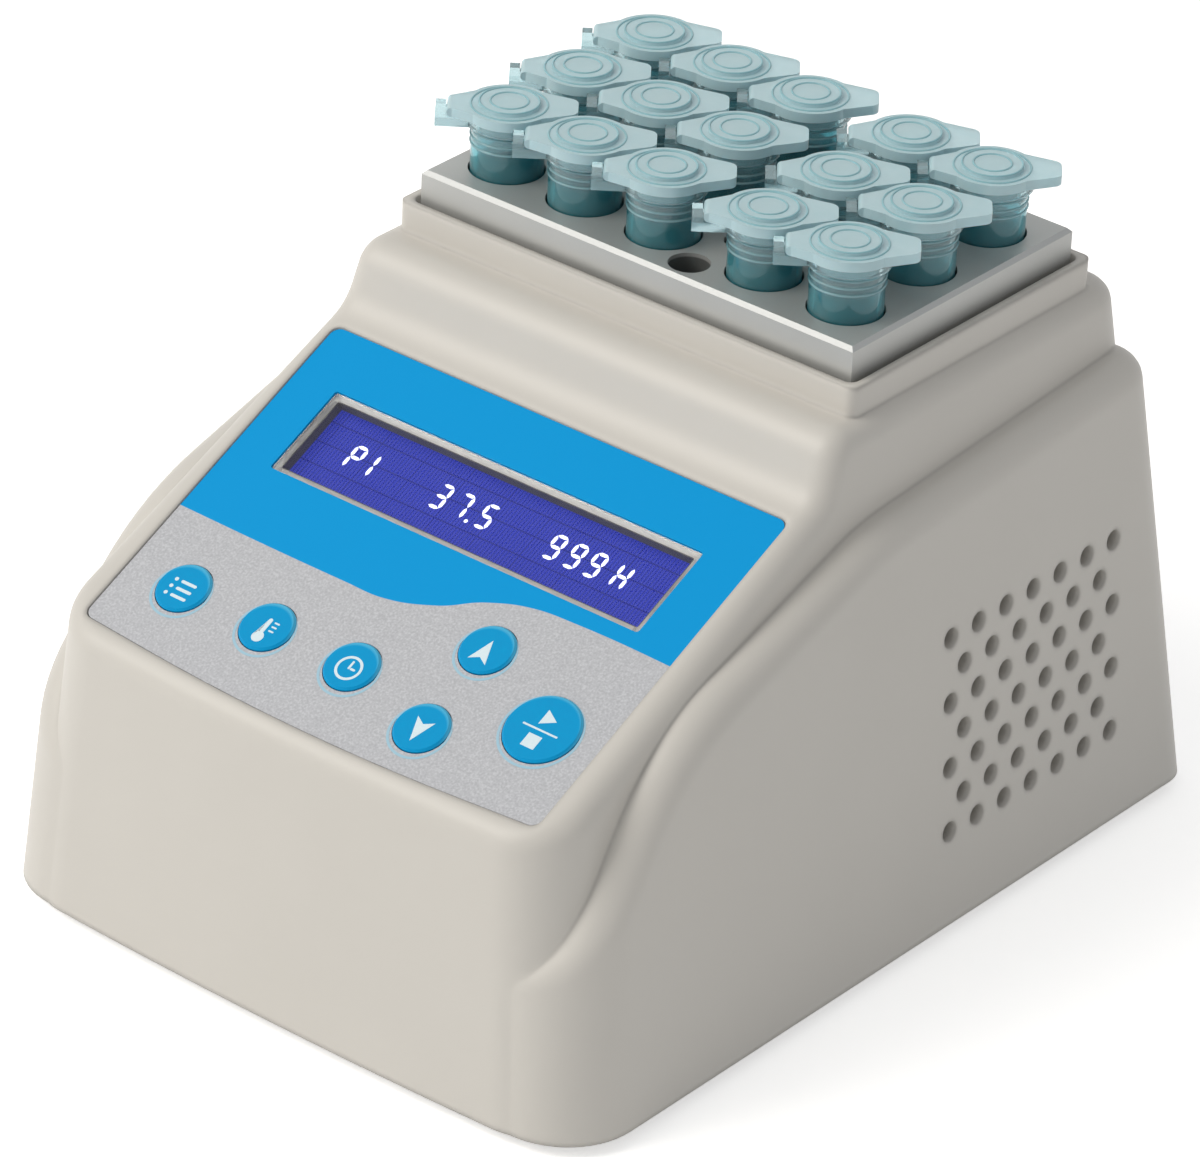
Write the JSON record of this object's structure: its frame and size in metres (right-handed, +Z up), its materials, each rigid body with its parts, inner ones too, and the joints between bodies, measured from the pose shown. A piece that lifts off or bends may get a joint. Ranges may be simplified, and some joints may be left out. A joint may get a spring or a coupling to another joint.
{
  "type": "dry bath incubator",
  "caption": "Bench-top dry bath with a sloping control face and a lift-out metal block that heats small lidded sample tubes.",
  "frame": {"origin": "on the bench under the middle of the part, between the feet", "axes": "+X to the right as the user sees the control face, +Y to the back, +Z up; the user stands at -Y"},
  "size_m": [0.11, 0.1479, 0.1054],
  "materials": {
    "shell": "smooth warm off-white moulding, satin gloss",
    "cover": "fine-grained grey-white moulding",
    "feet": "matt black rubber",
    "fasteners": "zinc-plated steel",
    "film": "printed polyester film, cyan above a pale silver sweep",
    "lens": "clear acrylic pane",
    "display": "blue liquid-crystal glass on a green board",
    "key_caps": "pale cyan key face",
    "boards": "green circuit board",
    "socket": "black nylon",
    "switch": "black nylon",
    "insulation": "heat-proof phenolic resin",
    "plate": "milled aluminium",
    "heater": "orange polyimide film",
    "sensor": "stainless sleeve",
    "cutout": "plated steel can",
    "block": "bead-blasted, clear-anodised aluminium",
    "tubes": "clear polypropylene",
    "lids": "frosted clear polypropylene"
  },
  "bodies": {
    "housing": {"upper_housing": "shell", "bottom_cover": "cover", "foot_front_left": "feet", "foot_front_right": "feet", "foot_rear_left": "feet", "foot_rear_right": "feet", "cover_screw_1": "fasteners", "cover_screw_2": "fasteners", "cover_screw_3": "fasteners", "cover_screw_4": "fasteners", "panel_overlay": "film", "display_lens": "lens", "display_module": "display", "key_board": "boards", "control_board": "boards", "power_socket": "socket", "switch_frame": "switch", "insulating_tray": "insulation", "heater_plate": "plate", "heating_film": "heater", "temperature_sensor": "sensor", "thermal_cutout": "cutout"},
    "block": {"heating_block": "block"},
    "rocker": {"switch_rocker": "switch"},
    "key_program": {"key_program": "key_caps"},
    "key_temperature": {"key_temperature": "key_caps"},
    "key_time": {"key_time": "key_caps"},
    "key_down": {"key_down": "key_caps"},
    "key_up": {"key_up": "key_caps"},
    "key_start": {"key_start": "key_caps"},
    "tube_r1c1": {"tube_r1c1": "tubes"},
    "lid_r1c1": {"lid_r1c1": "lids"},
    "tube_r1c2": {"tube_r1c2": "tubes"},
    "lid_r1c2": {"lid_r1c2": "lids"},
    "tube_r1c3": {"tube_r1c3": "tubes"},
    "lid_r1c3": {"lid_r1c3": "lids"},
    "tube_r1c4": {"tube_r1c4": "tubes"},
    "lid_r1c4": {"lid_r1c4": "lids"},
    "tube_r1c5": {"tube_r1c5": "tubes"},
    "lid_r1c5": {"lid_r1c5": "lids"},
    "tube_r2c1": {"tube_r2c1": "tubes"},
    "lid_r2c1": {"lid_r2c1": "lids"},
    "tube_r2c2": {"tube_r2c2": "tubes"},
    "lid_r2c2": {"lid_r2c2": "lids"},
    "tube_r2c3": {"tube_r2c3": "tubes"},
    "lid_r2c3": {"lid_r2c3": "lids"},
    "tube_r2c4": {"tube_r2c4": "tubes"},
    "lid_r2c4": {"lid_r2c4": "lids"},
    "tube_r2c5": {"tube_r2c5": "tubes"},
    "lid_r2c5": {"lid_r2c5": "lids"},
    "tube_r3c1": {"tube_r3c1": "tubes"},
    "lid_r3c1": {"lid_r3c1": "lids"},
    "tube_r3c2": {"tube_r3c2": "tubes"},
    "lid_r3c2": {"lid_r3c2": "lids"},
    "tube_r3c3": {"tube_r3c3": "tubes"},
    "lid_r3c3": {"lid_r3c3": "lids"},
    "tube_r3c4": {"tube_r3c4": "tubes"},
    "lid_r3c4": {"lid_r3c4": "lids"},
    "tube_r3c5": {"tube_r3c5": "tubes"},
    "lid_r3c5": {"lid_r3c5": "lids"}
  },
  "joints": [
    {"name": "block_lift", "type": "slide", "parent": "housing", "child": "block", "axis": [0, 0, 1], "range_m": [0, 0.04]},
    {"name": "tube_r1c1_lift", "type": "slide", "parent": "block", "child": "tube_r1c1", "axis": [0, 0, 1], "range_m": [0, 0.04]},
    {"name": "lid_r1c1_hinge", "type": "hinge", "parent": "tube_r1c1", "child": "lid_r1c1", "pos_m": [-0.03746, 0.00515, 0.10415], "axis": [0.6157, -0.788, 0], "range_deg": [0, 110]},
    {"name": "tube_r1c2_lift", "type": "slide", "parent": "block", "child": "tube_r1c2", "axis": [0, 0, 1], "range_m": [0, 0.04]},
    {"name": "lid_r1c2_hinge", "type": "hinge", "parent": "tube_r1c2", "child": "lid_r1c2", "pos_m": [-0.02291, 0.00515, 0.10415], "axis": [0.6157, -0.788, 0], "range_deg": [0, 110]},
    {"name": "tube_r1c3_lift", "type": "slide", "parent": "block", "child": "tube_r1c3", "axis": [0, 0, 1], "range_m": [0, 0.04]},
    {"name": "lid_r1c3_hinge", "type": "hinge", "parent": "tube_r1c3", "child": "lid_r1c3", "pos_m": [-0.00836, 0.00515, 0.10415], "axis": [0.6157, -0.788, 0], "range_deg": [0, 110]},
    {"name": "tube_r1c4_lift", "type": "slide", "parent": "block", "child": "tube_r1c4", "axis": [0, 0, 1], "range_m": [0, 0.04]},
    {"name": "lid_r1c4_hinge", "type": "hinge", "parent": "tube_r1c4", "child": "lid_r1c4", "pos_m": [0.00989, 0.00515, 0.10415], "axis": [0.6157, -0.788, 0], "range_deg": [0, 110]},
    {"name": "tube_r1c5_lift", "type": "slide", "parent": "block", "child": "tube_r1c5", "axis": [0, 0, 1], "range_m": [0, 0.04]},
    {"name": "lid_r1c5_hinge", "type": "hinge", "parent": "tube_r1c5", "child": "lid_r1c5", "pos_m": [0.02444, 0.00515, 0.10415], "axis": [0.6157, -0.788, 0], "range_deg": [0, 110]},
    {"name": "tube_r2c1_lift", "type": "slide", "parent": "block", "child": "tube_r2c1", "axis": [0, 0, 1], "range_m": [0, 0.04]},
    {"name": "lid_r2c1_hinge", "type": "hinge", "parent": "tube_r2c1", "child": "lid_r2c1", "pos_m": [-0.03746, 0.02165, 0.10415], "axis": [0.6157, -0.788, 0], "range_deg": [0, 110]},
    {"name": "tube_r2c2_lift", "type": "slide", "parent": "block", "child": "tube_r2c2", "axis": [0, 0, 1], "range_m": [0, 0.04]},
    {"name": "lid_r2c2_hinge", "type": "hinge", "parent": "tube_r2c2", "child": "lid_r2c2", "pos_m": [-0.02291, 0.02165, 0.10415], "axis": [0.6157, -0.788, 0], "range_deg": [0, 110]},
    {"name": "tube_r2c3_lift", "type": "slide", "parent": "block", "child": "tube_r2c3", "axis": [0, 0, 1], "range_m": [0, 0.04]},
    {"name": "lid_r2c3_hinge", "type": "hinge", "parent": "tube_r2c3", "child": "lid_r2c3", "pos_m": [-0.00836, 0.02165, 0.10415], "axis": [0.6157, -0.788, 0], "range_deg": [0, 110]},
    {"name": "tube_r2c4_lift", "type": "slide", "parent": "block", "child": "tube_r2c4", "axis": [0, 0, 1], "range_m": [0, 0.04]},
    {"name": "lid_r2c4_hinge", "type": "hinge", "parent": "tube_r2c4", "child": "lid_r2c4", "pos_m": [0.00989, 0.02165, 0.10415], "axis": [0.6157, -0.788, 0], "range_deg": [0, 110]},
    {"name": "tube_r2c5_lift", "type": "slide", "parent": "block", "child": "tube_r2c5", "axis": [0, 0, 1], "range_m": [0, 0.04]},
    {"name": "lid_r2c5_hinge", "type": "hinge", "parent": "tube_r2c5", "child": "lid_r2c5", "pos_m": [0.02444, 0.02165, 0.10415], "axis": [0.6157, -0.788, 0], "range_deg": [0, 110]},
    {"name": "tube_r3c1_lift", "type": "slide", "parent": "block", "child": "tube_r3c1", "axis": [0, 0, 1], "range_m": [0, 0.04]},
    {"name": "lid_r3c1_hinge", "type": "hinge", "parent": "tube_r3c1", "child": "lid_r3c1", "pos_m": [-0.03746, 0.03815, 0.10415], "axis": [0.6157, -0.788, 0], "range_deg": [0, 110]},
    {"name": "tube_r3c2_lift", "type": "slide", "parent": "block", "child": "tube_r3c2", "axis": [0, 0, 1], "range_m": [0, 0.04]},
    {"name": "lid_r3c2_hinge", "type": "hinge", "parent": "tube_r3c2", "child": "lid_r3c2", "pos_m": [-0.02291, 0.03815, 0.10415], "axis": [0.6157, -0.788, 0], "range_deg": [0, 110]},
    {"name": "tube_r3c3_lift", "type": "slide", "parent": "block", "child": "tube_r3c3", "axis": [0, 0, 1], "range_m": [0, 0.04]},
    {"name": "lid_r3c3_hinge", "type": "hinge", "parent": "tube_r3c3", "child": "lid_r3c3", "pos_m": [-0.00836, 0.03815, 0.10415], "axis": [0.6157, -0.788, 0], "range_deg": [0, 110]},
    {"name": "tube_r3c4_lift", "type": "slide", "parent": "block", "child": "tube_r3c4", "axis": [0, 0, 1], "range_m": [0, 0.04]},
    {"name": "lid_r3c4_hinge", "type": "hinge", "parent": "tube_r3c4", "child": "lid_r3c4", "pos_m": [0.00989, 0.03815, 0.10415], "axis": [0.6157, -0.788, 0], "range_deg": [0, 110]},
    {"name": "tube_r3c5_lift", "type": "slide", "parent": "block", "child": "tube_r3c5", "axis": [0, 0, 1], "range_m": [0, 0.04]},
    {"name": "lid_r3c5_hinge", "type": "hinge", "parent": "tube_r3c5", "child": "lid_r3c5", "pos_m": [0.02444, 0.03815, 0.10415], "axis": [0.6157, -0.788, 0], "range_deg": [0, 110]},
    {"name": "key_program_press", "type": "slide", "parent": "housing", "child": "key_program", "axis": [0, 0.4384, -0.8988], "range_m": [0, 0.0004], "stiffness_N_per_m": 300, "springref_m": -0.0006},
    {"name": "key_temperature_press", "type": "slide", "parent": "housing", "child": "key_temperature", "axis": [0, 0.4384, -0.8988], "range_m": [0, 0.0004], "stiffness_N_per_m": 300, "springref_m": -0.0006},
    {"name": "key_time_press", "type": "slide", "parent": "housing", "child": "key_time", "axis": [0, 0.4384, -0.8988], "range_m": [0, 0.0004], "stiffness_N_per_m": 300, "springref_m": -0.0006},
    {"name": "key_down_press", "type": "slide", "parent": "housing", "child": "key_down", "axis": [0, 0.4384, -0.8988], "range_m": [0, 0.0004], "stiffness_N_per_m": 300, "springref_m": -0.0006},
    {"name": "key_up_press", "type": "slide", "parent": "housing", "child": "key_up", "axis": [0, 0.4384, -0.8988], "range_m": [0, 0.0004], "stiffness_N_per_m": 300, "springref_m": -0.0006},
    {"name": "key_start_press", "type": "slide", "parent": "housing", "child": "key_start", "axis": [0, 0.4384, -0.8988], "range_m": [0, 0.0004], "stiffness_N_per_m": 300, "springref_m": -0.0006},
    {"name": "rocker_tilt", "type": "hinge", "parent": "housing", "child": "rocker", "pos_m": [-0.024, 0.0672, 0.02149], "axis": [0, 0.1599, -0.9871], "range_deg": [0, 18]}
  ]
}
